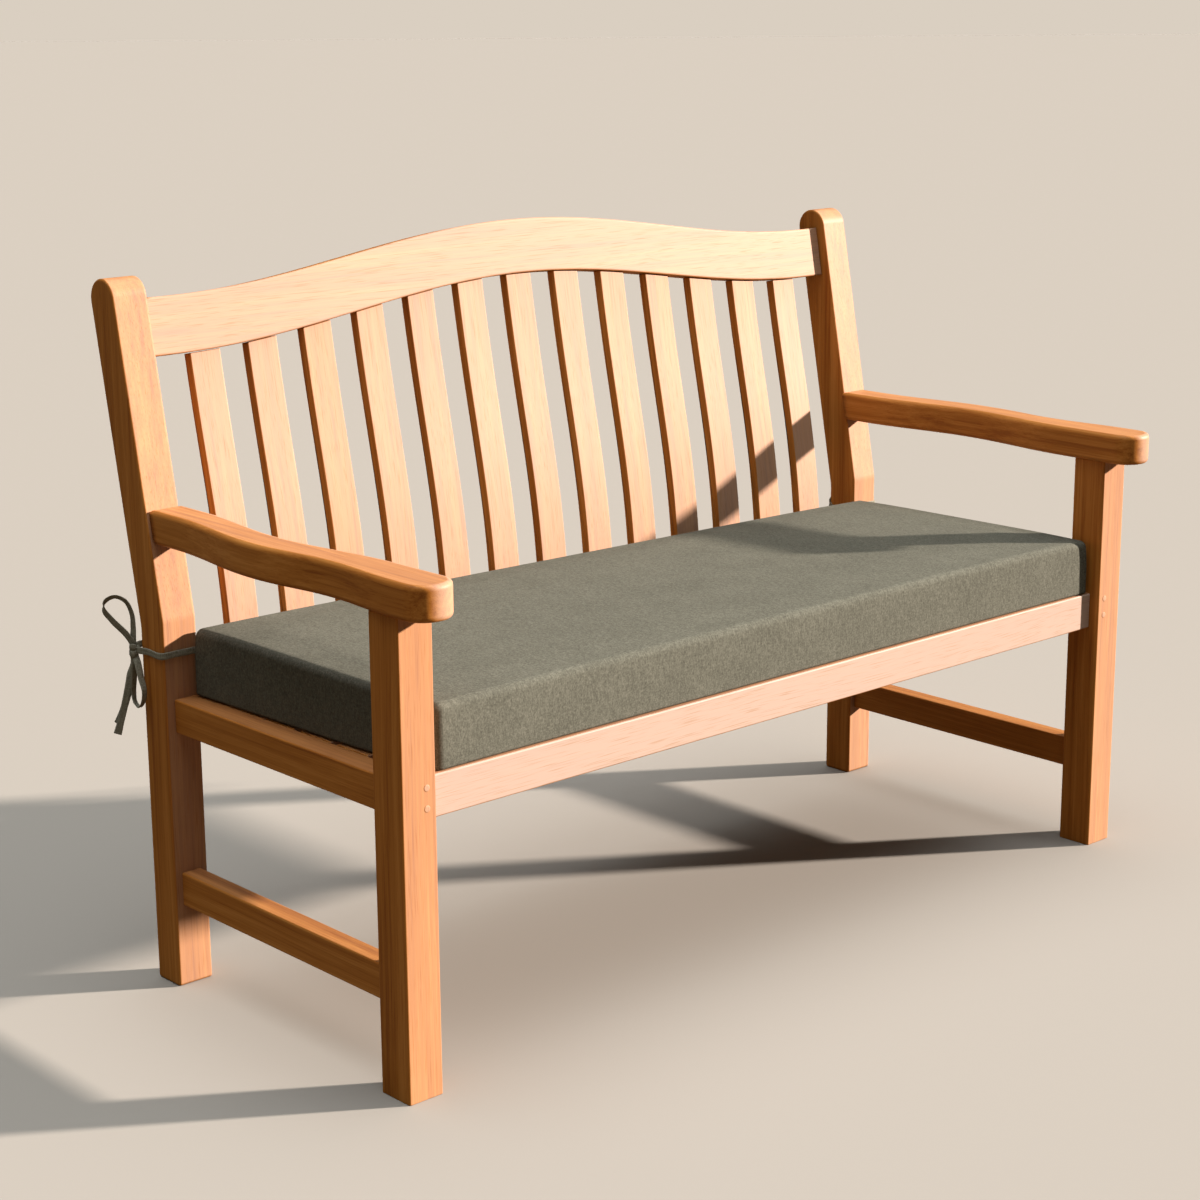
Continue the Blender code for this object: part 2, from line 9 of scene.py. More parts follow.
import bmesh
import bpy
import numpy as np
from mathutils import Matrix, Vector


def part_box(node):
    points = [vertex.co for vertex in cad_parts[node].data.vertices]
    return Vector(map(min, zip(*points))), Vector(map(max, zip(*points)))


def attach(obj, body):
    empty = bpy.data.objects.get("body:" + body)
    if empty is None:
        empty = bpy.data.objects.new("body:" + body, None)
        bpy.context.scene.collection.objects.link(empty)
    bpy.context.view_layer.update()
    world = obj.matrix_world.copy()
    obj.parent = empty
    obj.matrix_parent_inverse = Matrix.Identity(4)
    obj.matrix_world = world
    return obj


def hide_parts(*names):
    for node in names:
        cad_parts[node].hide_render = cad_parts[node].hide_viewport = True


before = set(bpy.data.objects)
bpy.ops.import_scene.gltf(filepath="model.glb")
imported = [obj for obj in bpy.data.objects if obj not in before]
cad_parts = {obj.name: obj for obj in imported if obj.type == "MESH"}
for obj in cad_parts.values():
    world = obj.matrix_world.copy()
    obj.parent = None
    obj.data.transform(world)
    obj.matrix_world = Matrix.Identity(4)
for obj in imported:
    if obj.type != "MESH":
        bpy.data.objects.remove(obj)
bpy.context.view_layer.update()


# ---- The view
# The photograph's viewpoint: in front of the bench's left end, 1.4 m up, looking slightly
# down. It was found from the edges of the timbers; the lens is long and has no shift.

bench_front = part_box("front_leg_left")[0][1]          # y of the front legs' front faces
camera_place = (-2.5489, bench_front - 2.3434, 1.4178)
camera_heading = radians(42.379)                      # from +Y towards +X
camera_pitch = radians(-14.148)
camera_roll = radians(-0.372)
camera_lens = 74.059                                  # millimetres, on a 36 mm wide frame

forward = np.array((sin(camera_heading) * cos(camera_pitch),
                    cos(camera_heading) * cos(camera_pitch), sin(camera_pitch)))
level = np.array((cos(camera_heading), -sin(camera_heading), 0.0))
upright = np.cross(level, forward)
camera_right = cos(camera_roll) * level + sin(camera_roll) * upright
camera_up = cos(camera_roll) * upright - sin(camera_roll) * level

camera_data = bpy.data.cameras.new("camera")
camera_data.lens = camera_lens
camera_data.sensor_width = 36.0
camera_data.clip_end = 60.0
camera = bpy.data.objects.new("camera", camera_data)
camera.matrix_world = Matrix.Translation(camera_place) @ Matrix(
    np.column_stack((camera_right, camera_up, -forward)).tolist()).to_4x4()
bpy.context.scene.collection.objects.link(camera)
bpy.context.scene.camera = camera


# ---- Ties
# At each rear corner of the cushion two ends of one narrow, folded and edge-stitched tape
# go round the post, one by its outer and one by its inner side. They are tied in a bow
# behind it, which leaves two loops and two square-cut ends hanging.

tape_width = 0.010
tape_thickness = 0.0018
tape_stand_off = 0.0006                # clear space between the tape and the post
tape_off = tape_stand_off + tape_thickness / 2
tape_step = 0.0014                     # between two rings of the tape's mesh
fold_dip = 0.30                        # share of the thickness, along the tape's middle
stitch_dip, stitch_lane = 0.22, 0.72   # the same along a line this far out to each edge
edge_share = 0.15                      # share of the thickness that is left at the edges
cut_end_spread = 0.16                  # share by which the cut ends are wider
cut_end_reach = 0.012
bow_facing = radians(42.4)             # the bow faces the front corner, this far from -Y
bow_depth = np.array((-sin(bow_facing), cos(bow_facing), 0.0))   # outwards, back, up

sides = (("left", -1), ("right", 1))
post_low, post_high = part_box("rear_post_left")
post_inside, post_outside = -post_high[0], -post_low[0]
post_front = post_low[1]
post_depth = 0.0564                    # of the straight part, below the bend
post_rear = post_front + post_depth
post_edge = 0.0025
knot_place = np.array((0.757, post_front + 0.0653, 0.4965))

# Two wraps of tape round the knot's core, each a tilted ellipse.
# columns: half size outwards, half size back, tilt back, tilt outwards, lift
knot_wraps = (
    (0.0058, 0.0052, radians(-20), radians(24), 0.0022),
    (0.0062, 0.0056, radians(16), radians(-22), -0.0024),
)
wrap_width, wrap_thickness = 0.0085, 0.0011
knot_core = (0.0056, 0.0052, 0.0074)   # half sizes

# Routes of the bow's parts, in millimetres from the knot, and the tape's turn in degrees:
# 0 puts its width square to the bow, 90 lays it flat in the bow.
# columns: outwards, back, up, turn
upper_loop = (
    (0.0, 0.0, 1.0, 80),
    (1.3, 1.1, 8.8, 78),
    (5.6, 5.1, 19.2, 76),
    (22.0, 20.2, 44.2, 70),
    (29.0, 26.4, 58.0, 50),
    (28.2, 25.7, 69.1, -24),
    (17.8, 16.2, 77.5, -44),
    (7.2, 6.6, 71.9, -50),
    (0.7, 0.7, 54.3, -52),
    (-0.3, -0.3, 32.3, -58),
    (0.5, 0.5, 11.8, -70),
    (0.5, 0.5, 2.0, -80),
)
lower_loop = (
    (0.3, -1.0, -1.0, 80),
    (0.6, -3.0, -7.4, 76),
    (0.8, -9.0, -17.9, 66),
    (1.0, -16.2, -38.6, 44),
    (1.0, -23.0, -55.9, 34),
    (1.0, -19.8, -71.7, 30),
    (1.0, -7.5, -83.0, 8),
    (1.0, 2.6, -78.0, -16),
    (1.0, 5.6, -66.0, -34),
    (0.8, 2.8, -44.0, -40),
    (0.5, -2.0, -14.9, -62),
    (0.3, -1.0, -2.0, -75),
)
long_tail = (
    (1.8, 1.7, -7.4, 90),
    (6.2, 5.7, -41.3, 94),
    (11.8, 10.8, -75.4, 86),
    (18.6, 17.0, -108.9, 92),
    (22.2, 20.3, -125.2, 88),
)
short_tail = (
    (0.5, 4.0, -8.0, 90),
    (2.6, 8.2, -42.0, 82),
    (9.0, 13.6, -76.0, 92),
    (17.2, 20.6, -104.0, 98),
    (19.4, 22.6, -110.6, 100),
)


def unit(vectors):
    """The vectors at length one."""
    return vectors / np.linalg.norm(vectors, axis=-1, keepdims=True)


def run_along(points):
    """Distance of each point from the first, along the straight lines between them."""
    return np.concatenate(([0.0], np.cumsum(np.linalg.norm(np.diff(points, axis=0), axis=1))))


def smooth_through(rows, spacing):
    """Rows of numbers evenly spread on a cubic Hermite curve through the given rows.

    The first three columns are a place, whose chord length is the curve's parameter, and
    each row's slope is the central difference of its neighbours.
    """
    reach = run_along(rows[:, :3])
    slopes = np.gradient(rows, reach, axis=0)
    wanted = np.linspace(0.0, reach[-1], int(round(reach[-1] / spacing)) + 1)
    start = np.clip(np.searchsorted(reach, wanted) - 1, 0, len(rows) - 2)
    span = (reach[start + 1] - reach[start])[:, None]
    t = (wanted - reach[start])[:, None] / span
    return ((2 * t ** 3 - 3 * t ** 2 + 1) * rows[start]
            + (t ** 3 - 2 * t ** 2 + t) * span * slopes[start]
            + (3 * t ** 2 - 2 * t ** 3) * rows[start + 1]
            + (t ** 3 - t ** 2) * span * slopes[start + 1])


def arc_points(centre, radius, start, end, steps):
    """Rows of x, y on an arc between two angles in degrees, ends included."""
    turns = np.radians(np.linspace(start, end, steps + 1))
    return np.column_stack((centre[0] + radius * np.cos(turns), centre[1] + radius * np.sin(turns)))


def bow_rows(table):
    """A bow table in metres, with a last column 0: the tape's width follows its turn."""
    table = np.array(table, float)
    place = knot_place + table[:, :3] * 0.001
    return np.column_stack((place, np.radians(table[:, 3]), np.zeros(len(table))))


def band_rows(plan, heights):
    """Rows round the post: plan points at their heights, the tape standing on edge."""
    return np.column_stack((plan, heights, np.zeros(len(plan)), np.ones(len(plan))))


def tape_frame(rows):
    """Middle line, width direction and heading of a tape along its rows, each N x 3.

    On the post the width is upright. In the bow it is turned by the rows' angle between
    the bow's depth and the sideways direction, depth x heading. Signs are kept alike.
    """
    dense = smooth_through(rows, tape_step)
    middle, turn, standing = dense[:, :3], dense[:, 3:4], np.clip(dense[:, 4:5], 0, 1)
    heading = unit(np.gradient(middle, axis=0))
    sideways = unit(np.cross(bow_depth, heading) + 1e-9)
    across = np.cos(turn) * bow_depth + np.sin(turn) * sideways
    across = unit(standing * np.array((0.0, 0.0, 1.0)) + (1 - standing) * across)
    across = unit(across - heading * (across * heading).sum(axis=1, keepdims=True))
    kept = np.sign((across[1:] * across[:-1]).sum(axis=1))
    signs = np.cumprod(np.concatenate(([1.0], np.where(kept == 0, 1.0, kept))))
    return middle, across * signs[:, None], heading


def ring_faces(count, around):
    """Faces of a closed solid of rings of points: quads between rings, one face at each end."""
    ring = np.arange(count - 1)[:, None] * around
    here = np.arange(around)[None, :]
    there = (here + 1) % around
    quads = np.stack((ring + here, ring + there, ring + around + there, ring + around + here),
                     axis=-1).reshape(-1, 4)
    return quads.tolist() + [list(range(around))[::-1],
                             list(range((count - 1) * around, count * around))]


def add_values(mesh, name, kind, values, domain="POINT"):
    """Add an attribute: FLOAT_VECTOR with three values for each point or corner, or FLOAT."""
    layer = mesh.attributes.new(name, kind, domain)
    field = "vector" if kind == "FLOAT_VECTOR" else "value"
    layer.data.foreach_set(field, values.astype(np.float32).ravel())


def closed_tube(name, rings, cloth):
    """A smooth closed mesh from N rings of M points, with their cloth coordinates."""
    mesh = bpy.data.meshes.new(name)
    mesh.from_pydata(rings.reshape(-1, 3).tolist(), [], ring_faces(*rings.shape[:2]))
    add_values(mesh, "cloth", "FLOAT_VECTOR", cloth)
    mesh.validate()
    mesh.shade_smooth()
    shape = bmesh.new()
    shape.from_mesh(mesh)
    bmesh.ops.recalc_face_normals(shape, faces=shape.faces)
    shape.to_mesh(mesh)
    shape.free()
    return mesh


def tape_rings(middle, across, heading, spread):
    """Rings of the tape's section, and the cloth coordinates on them.

    The section is a flat oval that thins towards its edges. It dips along the middle,
    where the folded edges meet, and along a line of stitches beside each edge. The width
    is multiplied by the spread. The third cloth coordinate is 0 in the middle, 1 at an edge.
    """
    flat = unit(np.cross(heading, across))
    lane = np.linspace(-1, 1, 13)
    body = (1.0 - fold_dip * np.exp(-(lane / 0.16) ** 2)
            - stitch_dip * np.exp(-((np.abs(lane) - stitch_lane) / 0.10) ** 2))
    body *= np.sqrt(np.clip(1 - np.abs(lane) ** 6, 0, 1)) * (1 - edge_share) + edge_share
    lanes = np.concatenate((lane, lane[::-1]))
    walls = np.concatenate((body, -body[::-1])) * tape_thickness / 2
    rings = (middle[:, None, :]
             + across[:, None, :] * (lanes[None, :] * tape_width / 2 * spread[:, None])[..., None]
             + flat[:, None, :] * walls[None, :, None])
    cloth = np.empty(rings.shape)
    cloth[..., 0] = lanes * tape_width / 2
    cloth[..., 1] = run_along(middle)[:, None]
    cloth[..., 2] = np.abs(lanes)
    return rings, cloth


def wrap_rings(half_out, half_back, tilt_back, tilt_out, lift):
    """Rings of one wrap of the knot, and the cloth coordinates on them.

    A flat band goes round a tilted ellipse about the knot, its ends one on the other. Its
    outer wall is rounded towards its edges.
    """
    turns = np.linspace(0, 2 * pi, 41)
    outward = np.column_stack((np.cos(turns), np.sin(turns), np.zeros(len(turns))))
    ellipse = outward * np.array((half_out, half_back, 0.0))
    ellipse[:, 2] = ellipse[:, 0] * tan(tilt_out) + ellipse[:, 1] * tan(tilt_back) + lift
    lane = np.linspace(-1, 1, 9)
    lanes = np.concatenate((lane, lane[::-1]))
    hug = 1 - 0.55 * np.abs(lane) ** 2.5
    walls = np.concatenate((hug, -hug[::-1] * 0.3 - 0.5)) * wrap_thickness
    rings = (knot_place + ellipse[:, None, :] + outward[:, None, :] * walls[None, :, None]
             + np.array((0.0, 0.0, 1.0)) * (lanes * wrap_width / 2)[None, :, None])
    cloth = np.empty(rings.shape)
    cloth[..., 0] = lanes * tape_width / 2
    cloth[..., 1] = (turns * half_out)[:, None]
    cloth[..., 2] = np.abs(lanes)
    return rings, cloth


def knot_mesh(name, to_side):
    """The knot's core, a squashed ball, and its wraps, in one mesh of closed parts."""
    shape = bmesh.new()
    for wrap in knot_wraps:
        rings, cloth = wrap_rings(*wrap)
        mesh = closed_tube("wrap", rings * to_side, cloth)
        shape.from_mesh(mesh)
        bpy.data.meshes.remove(mesh)
    core = bmesh.ops.create_uvsphere(shape, u_segments=20, v_segments=12, radius=1.0)["verts"]
    bmesh.ops.scale(shape, vec=knot_core, verts=core)
    bmesh.ops.translate(shape, vec=(knot_place * to_side).tolist(), verts=core)
    mesh = bpy.data.meshes.new(name)
    shape.to_mesh(mesh)
    shape.free()
    mesh.shade_smooth()
    return mesh


def feed(node, inputs):
    """Give a node's inputs their values, or link them to other nodes' outputs."""
    for name, value in inputs.items():
        if isinstance(value, bpy.types.NodeSocket):
            node.id_data.links.new(value, node.inputs[name])
        else:
            node.inputs[name].default_value = value


def add_node(tree, kind, inputs=None, **settings):
    """A new node of a tree, with its settings and then its inputs."""
    node = tree.nodes.new(kind)
    for name, value in settings.items():
        setattr(node, name, value)
    feed(node, inputs or {})
    return node


def new_group(name, sockets):
    """A node group with these sockets: the group, what it is given, and its result node."""
    group = bpy.data.node_groups.new(name, "ShaderNodeTree")
    for socket_name, way, kind in sockets:
        group.interface.new_socket(name=socket_name, in_out=way, socket_type=kind)
    return group, group.nodes.new("NodeGroupInput").outputs, group.nodes.new("NodeGroupOutput")


def new_material(name):
    """A new material, its node tree and its shader."""
    material = bpy.data.materials.new(name)
    material.use_nodes = True
    return material, material.node_tree, material.node_tree.nodes["Principled BSDF"]


def drawn_noise(tree, place, scale, detail, roughness=0.5, shift=0.0):
    """Noise over shifted coordinates, drawn out along the axes whose scale is small."""
    moved = add_node(tree, "ShaderNodeMapping", {
        "Vector": place, "Scale": scale, "Location": (shift, shift * 0.7, shift * 0.3)})
    return add_node(tree, "ShaderNodeTexNoise", {
        "Vector": moved.outputs[0], "Scale": 1.0, "Detail": detail, "Roughness": roughness}).outputs


def colour_ramp(tree, value, stops):
    """The colour of a ramp at a value, through stops of position and colour."""
    ramp = add_node(tree, "ShaderNodeValToRGB", {"Fac": value})
    elements = ramp.color_ramp.elements
    for element, (position, colour) in zip(elements[:], (stops[0], stops[-1])):
        element.position = position
        element.color = (*colour, 1.0)
    for position, colour in stops[1:-1]:
        elements.new(position).color = (*colour, 1.0)
    return ramp.outputs["Color"]


def mixed_colour(tree, share, first, second, way="MIX"):
    """The colour between a first and a second, by a share from 0 to 1."""
    return add_node(tree, "ShaderNodeMix", {"Factor": share, "A": first, "B": second},
                    data_type="RGBA", blend_type=way).outputs["Result"]


def mixed_value(tree, share, first, second):
    """The value between a first and a second, by a share from 0 to 1."""
    return add_node(tree, "ShaderNodeMix", {"Factor": share, "A": first, "B": second},
                    data_type="FLOAT").outputs["Result"]


def mapped_value(tree, value, **limits):
    """A value mapped from one range to another, from 0 to 1 unless the limits say more."""
    sockets = {name.replace("_", " ").title(): limit for name, limit in limits.items()}
    return add_node(tree, "ShaderNodeMapRange", {"Value": value, **sockets}).outputs[0]


def weave_group():
    """Node group: plain weave with slub yarns, from flat cloth coordinates in metres.

    Height is the larger of two crossed rows of round yarns, over and under in a chequer.
    Tone mixes noise drawn out along the weft with noise drawn out along the warp, each
    fine and coarse, by the warp's share, and adds slow patches.
    """
    group, given, result = new_group("plain_weave", (
        ("Cloth", "INPUT", "NodeSocketVector"), ("Yarn Pitch", "INPUT", "NodeSocketFloat"),
        ("Warp Share", "INPUT", "NodeSocketFloat"),
        ("Tone", "OUTPUT", "NodeSocketFloat"), ("Height", "OUTPUT", "NodeSocketFloat")))

    def calc(operation, *values):
        return add_node(group, "ShaderNodeMath", dict(enumerate(values)),
                        operation=operation).outputs[0]

    def yarn_wave(place):
        return calc("SINE", calc("MULTIPLY", calc("DIVIDE", place, given["Yarn Pitch"]), pi))

    def yarn_noise(fine_scale, coarse_scale, shift):
        fine = drawn_noise(group, given["Cloth"], fine_scale, 2.0, shift=shift)["Fac"]
        coarse = drawn_noise(group, given["Cloth"], coarse_scale, 1.0, shift=shift + 2.0)["Fac"]
        return calc("ADD", calc("MULTIPLY", fine, 1.25), calc("MULTIPLY", coarse, 0.75))

    place = add_node(group, "ShaderNodeSeparateXYZ", {"Vector": given["Cloth"]}).outputs
    warp_wave, weft_wave = yarn_wave(place["X"]), yarn_wave(place["Y"])
    over = calc("MULTIPLY_ADD", calc("MULTIPLY", warp_wave, weft_wave), 0.5, 0.5)
    under = calc("SUBTRACT", 1.0, over)
    height = calc("MAXIMUM", calc("MULTIPLY", calc("ABSOLUTE", warp_wave), over),
                  calc("MULTIPLY", calc("ABSOLUTE", weft_wave), under))

    warp = yarn_noise((760.0, 330.0, 0.0), (420.0, 130.0, 0.0), 3.0)
    weft = yarn_noise((330.0, 760.0, 0.0), (130.0, 420.0, 0.0), 11.0)
    yarns = mixed_value(group, given["Warp Share"], weft, warp)
    patches = drawn_noise(group, given["Cloth"], (14.0, 14.0, 0.0), 2.0, shift=23.0)["Fac"]
    tone = calc("ADD", calc("MULTIPLY", yarns, 0.46), calc("MULTIPLY", patches, 0.08))
    feed(result, {"Tone": tone, "Height": height})
    return group


def cloth_material(name, tones, pitch, relief):
    """A quite matt woven material, in three tones of yarn over the weave.

    Also given back, for what differs from piece to piece: its weave node, and the third
    cloth coordinate, which marks a place on the piece.
    """
    material, tree, shader = new_material(name)
    cloth = add_node(tree, "ShaderNodeAttribute", attribute_name="cloth").outputs["Vector"]
    mark = add_node(tree, "ShaderNodeSeparateXYZ", {"Vector": cloth}).outputs["Z"]
    weave = add_node(tree, "ShaderNodeGroup", {"Cloth": cloth, "Yarn Pitch": pitch, "Warp Share": 0.5},
                     node_tree=plain_weave)
    colour = colour_ramp(tree, weave.outputs["Tone"], tuple(zip((0.385, 0.5, 0.615), tones)))
    bump = add_node(tree, "ShaderNodeBump", {
        "Height": weave.outputs["Height"], "Strength": relief, "Distance": 0.0004})
    feed(shader, {"Base Color": colour, "Normal": bump.outputs["Normal"],
                  "Roughness": 0.95, "Specular IOR Level": 0.06})
    return material, weave, mark


def tape_material():
    """The tape's cloth. Its stitched edges are painted a little paler: a painted highlight where the light
    catches the folded edges.
    """
    material, _, mark = cloth_material("tape_cloth", (
        (0.165, 0.169, 0.142), (0.245, 0.250, 0.211), (0.325, 0.330, 0.280)), pitch=0.0009, relief=0.5)
    tree = material.node_tree
    shader = tree.nodes["Principled BSDF"]
    yarns = shader.inputs["Base Color"].links[0].from_socket
    # Painted highlight: near its edges, by the third cloth coordinate, the tape is mixed towards a pale
    # grey-green.
    edge = mapped_value(tree, mark, from_min=0.80, from_max=0.96, to_max=0.55)
    feed(shader, {"Base Color": mixed_colour(tree, edge, yarns, (0.33, 0.33, 0.285, 1.0))})
    return material


def placed(name, mesh, material, nodes=()):
    """A finished piece at the origin, which rides on the bench and replaces its solids."""
    piece = bpy.data.objects.new(name, mesh)
    mesh.materials.clear()
    mesh.materials.append(material)
    bpy.context.scene.collection.objects.link(piece)
    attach(piece, "root")
    if nodes:
        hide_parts(*nodes)
    return piece


plain_weave = weave_group()
tape_cloth = tape_material()

turn_radius = post_edge + tape_off
corner_inside, corner_outside = post_inside + post_edge, post_outside - post_edge
sewn_at = (0.6935, post_front - 0.0062)             # the seam at the cushion's rear corner
sewn_height = 0.4990
band_height = 0.4970
inner_band_height = 0.5050                          # where it shows above the knot
loose_turn, loose_stand_off = 0.0080, 0.0026        # round the post's outer front corner

front_corner = arc_points((post_outside + loose_stand_off - loose_turn,
                           post_front - loose_stand_off + loose_turn), loose_turn, 270, 360, 6)
outer_way = np.vstack(([sewn_at, (0.7000, post_front - 0.0036), (0.7120, post_front - 0.0028)],
                       front_corner, [(post_outside + tape_off, knot_place[1] - 0.024),
                                      (knot_place[0] - 0.0010, knot_place[1] - 0.0070)]))
outer_heights = np.linspace(sewn_height, band_height, len(outer_way))
rear_corner = arc_points((corner_inside, post_rear - post_edge), turn_radius, 180, 90, 4)
inner_way = np.vstack(([sewn_at, (0.6930, post_front), (corner_inside - turn_radius, post_front + 0.0080)],
                       rear_corner, [(corner_outside - 0.0040, post_rear + tape_off),
                                     (corner_outside + 0.0040, post_rear + tape_off + 0.0010)]))
inner_heights = np.concatenate(([sewn_height, 0.4955, 0.4940],
                                np.linspace(0.4945, 0.5010, len(rear_corner)),
                                [inner_band_height - 0.0005, inner_band_height]))
tapes = {
    "long": np.vstack((band_rows(outer_way, outer_heights), bow_rows(upper_loop), bow_rows(long_tail))),
    "short": np.vstack((band_rows(inner_way, inner_heights), bow_rows(lower_loop), bow_rows(short_tail))),
}

for side_name, side in sides:
    to_side = np.array((side, 1.0, 1.0))
    knot = placed(f"knot_{side_name}", knot_mesh(f"knot_{side_name}", to_side),
                  tape_cloth, [f"tie_{side_name}"])
    for length_name, rows in tapes.items():
        middle, across, heading = tape_frame(rows)
        reach = run_along(middle)
        tape_length = float(reach[-1])
        spread = 1.0 + cut_end_spread * np.exp(-((tape_length - reach) / cut_end_reach) ** 2)
        rings, cloth = tape_rings(middle, across, heading, spread)
        tape = placed(f"tape_{length_name}_{side_name}",
                      closed_tube(f"tape_{length_name}_{side_name}", rings * to_side, cloth),
                      tape_cloth, [f"tie_{side_name}"])


# ---- Timbers: the shared way of making them
# Every timber is sawn from straight-grained hardwood, planed, its arrises rounded over and
# the whole sanded and oiled. The grain runs straight through it, also where it is curved.

arris_steps = 4
face_hold = 0.0012                     # flat strip next to an arris, which keeps faces flat
end_arris = 0.0012                     # the most that a timber's sawn ends are rounded
timber_gap = 0.0003                    # between timbers that meet
# A timber's tone is the share of its painted highlight, a pale pinkish tan on the faces turned towards the
# key lamp.
grain_shift, tone_spread = 4.0, 0.06   # the most that chance moves a timber's grain and tone
timber_random = np.random.default_rng(7)
along_x = ((1, 0, 0), (0, 0, 1), (0, 1, 0))          # along, across and through the grain
along_y = ((0, 1, 0), (0, 0, 1), (1, 0, 0))
along_z = ((0, 0, 1), (1, 0, 0), (0, 1, 0))


def rounded_outline(corners, steps=5):
    """Outline through corners given as x, y, radius, each turned on an arc of its radius."""
    rows = np.array(corners, float)
    outline = []
    for before, corner, after in zip(np.roll(rows, 1, axis=0), rows, np.roll(rows, -1, axis=0)):
        to_before, to_after = unit(before[:2] - corner[:2]), unit(after[:2] - corner[:2])
        half_angle = np.arccos(np.clip(to_before @ to_after, -1, 1)) / 2
        radius = corner[2]
        centre = corner[:2] + unit(to_before + to_after) * radius / np.sin(half_angle)
        start = corner[:2] + to_before * radius / np.tan(half_angle)
        end = corner[:2] + to_after * radius / np.tan(half_angle)
        first = np.arctan2(*(start - centre)[::-1])
        sweep = np.arctan2(*(end - centre)[::-1]) - first
        sweep = (sweep + pi) % (2 * pi) - pi
        turns = first + sweep * np.linspace(0, 1, steps + 1)
        outline.append(np.column_stack((centre[0] + radius * np.cos(turns),
                                        centre[1] + radius * np.sin(turns))))
    return np.vstack(outline)


def drawn_in(outline, inset):
    """The outline moved inwards: each point along its mitre, exact for straight sides."""
    before = unit(outline - np.roll(outline, 1, axis=0))
    after = unit(np.roll(outline, -1, axis=0) - outline)
    outward_before = np.column_stack((before[:, 1], -before[:, 0]))
    outward_after = np.column_stack((after[:, 1], -after[:, 0]))
    mitre = unit(outward_before + outward_after)
    stretch = np.clip((mitre * outward_before).sum(axis=1), 0.4, 1)
    return outline - mitre * (inset / stretch)[:, None]


def prism(outline, half, arris):
    """Rings x points x 3 of a board with this outline, from its top face to its bottom face.

    At the angle t of an arris the outline is drawn in by arris * (1 - sin t), and lies
    arris * (1 - cos t) below the face. Strips beside the arrises hold the faces flat.
    """
    turns = np.linspace(0, pi / 2, arris_steps + 1)
    inset = np.concatenate(([arris + face_hold], arris * (1 - np.sin(turns)), [0.0]))
    level = np.concatenate(([half], half - arris * (1 - np.cos(turns)), [half - arris - face_hold]))
    inset = np.concatenate((inset, inset[::-1]))
    level = np.concatenate((level, -level[::-1]))
    return np.stack([np.column_stack((drawn_in(outline, amount), np.full(len(outline), height)))
                     for amount, height in zip(inset, level)])


def timber(name, rings, grain_axes, nodes, tone):
    """A timber from its rings of points in the bench's frame.

    Its grain coordinates are the points' distances along, across and through the wood, by
    the three grain axes, moved by a random amount so that no two timbers look alike. The
    tone is the share of a painted highlight: from 0, deep orange-brown all round, to 1, where
    the faces turned towards the key lamp are painted a pale pinkish tan. It varies a little.
    """
    points = rings.reshape(-1, 3)
    mesh = bpy.data.meshes.new(name)
    mesh.from_pydata(points.tolist(), [], ring_faces(*rings.shape[:2]))
    grain = points @ np.array(grain_axes, float).T + timber_random.uniform(-grain_shift, grain_shift, 3)
    # shade: the timber's share of painted highlight, moved a little by chance
    shade = tone + timber_random.uniform(-tone_spread, tone_spread)
    add_values(mesh, "grain", "FLOAT_VECTOR", grain)
    add_values(mesh, "painted_highlight_share", "FLOAT", np.full(len(points), shade))
    mesh.shade_smooth()
    shape = bmesh.new()
    shape.from_mesh(mesh)
    if shape.calc_volume(signed=True) < 0:
        bmesh.ops.reverse_faces(shape, faces=shape.faces)
    shape.to_mesh(mesh)
    shape.free()
    piece = placed(name, mesh, hardwood, nodes)
    flat_faces = piece.modifiers.new("flat_faces", "WEIGHTED_NORMAL")
    flat_faces.weight = 100


def squared_timber(node, length_axis, arris, tone):
    """A straight timber in the box of its solid: a rounded rectangle carried along it."""
    low, high = (np.array(corner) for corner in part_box(node))
    middle, half = (low + high) / 2, (high - low) / 2
    first, second = [axis for axis in range(3) if axis != length_axis]
    a, b = half[first], half[second]
    outline = rounded_outline(((a, -b, arris), (a, b, arris), (-a, b, arris), (-a, -b, arris)))
    local = prism(outline, half[length_axis], end_arris)
    rings = np.empty(local.shape)
    for axis, values in zip((first, second, length_axis), np.moveaxis(local, -1, 0)):
        rings[..., axis] = middle[axis] + values
    timber(node + "_timber", rings, (along_x, along_y, along_z)[length_axis], [node], tone)


def grain_group():
    """Node group: straight hardwood grain from coordinates along, across and through it.

    Noise that is drawn out along the grain makes broad bands, stripes, fine lines and short
    dark pores; a slow noise sways them. Shade runs from dark to light wood.
    """
    group, given, result = new_group("straight_grain", (
        ("Grain", "INPUT", "NodeSocketVector"), ("Shade", "OUTPUT", "NodeSocketFloat"),
        ("Pores", "OUTPUT", "NodeSocketFloat"), ("Height", "OUTPUT", "NodeSocketFloat")))
    sway = drawn_noise(group, given["Grain"], (1.8, 7.0, 7.0), 1.0)["Color"]
    swayed = add_node(group, "ShaderNodeVectorMath", {0: sway, 1: (0.0, 0.020, 0.020), 2: given["Grain"]},
                      operation="MULTIPLY_ADD").outputs[0]
    bands = drawn_noise(group, swayed, (1.2, 42.0, 42.0), 1.0)["Fac"]
    stripes = drawn_noise(group, swayed, (2.6, 150.0, 150.0), 1.0)["Fac"]
    lines = drawn_noise(group, swayed, (6.0, 520.0, 520.0), 3.0, 0.6)["Fac"]
    pores = drawn_noise(group, swayed, (16.0, 900.0, 900.0), 1.0)["Fac"]
    broad = mixed_value(group, 0.55, bands, stripes)
    feed(result, {"Shade": mixed_value(group, 0.30, broad, lines),
                  "Pores": mapped_value(group, pores, from_min=0.58, from_max=0.72),
                  "Height": mixed_value(group, 0.5, lines, pores)})
    return group


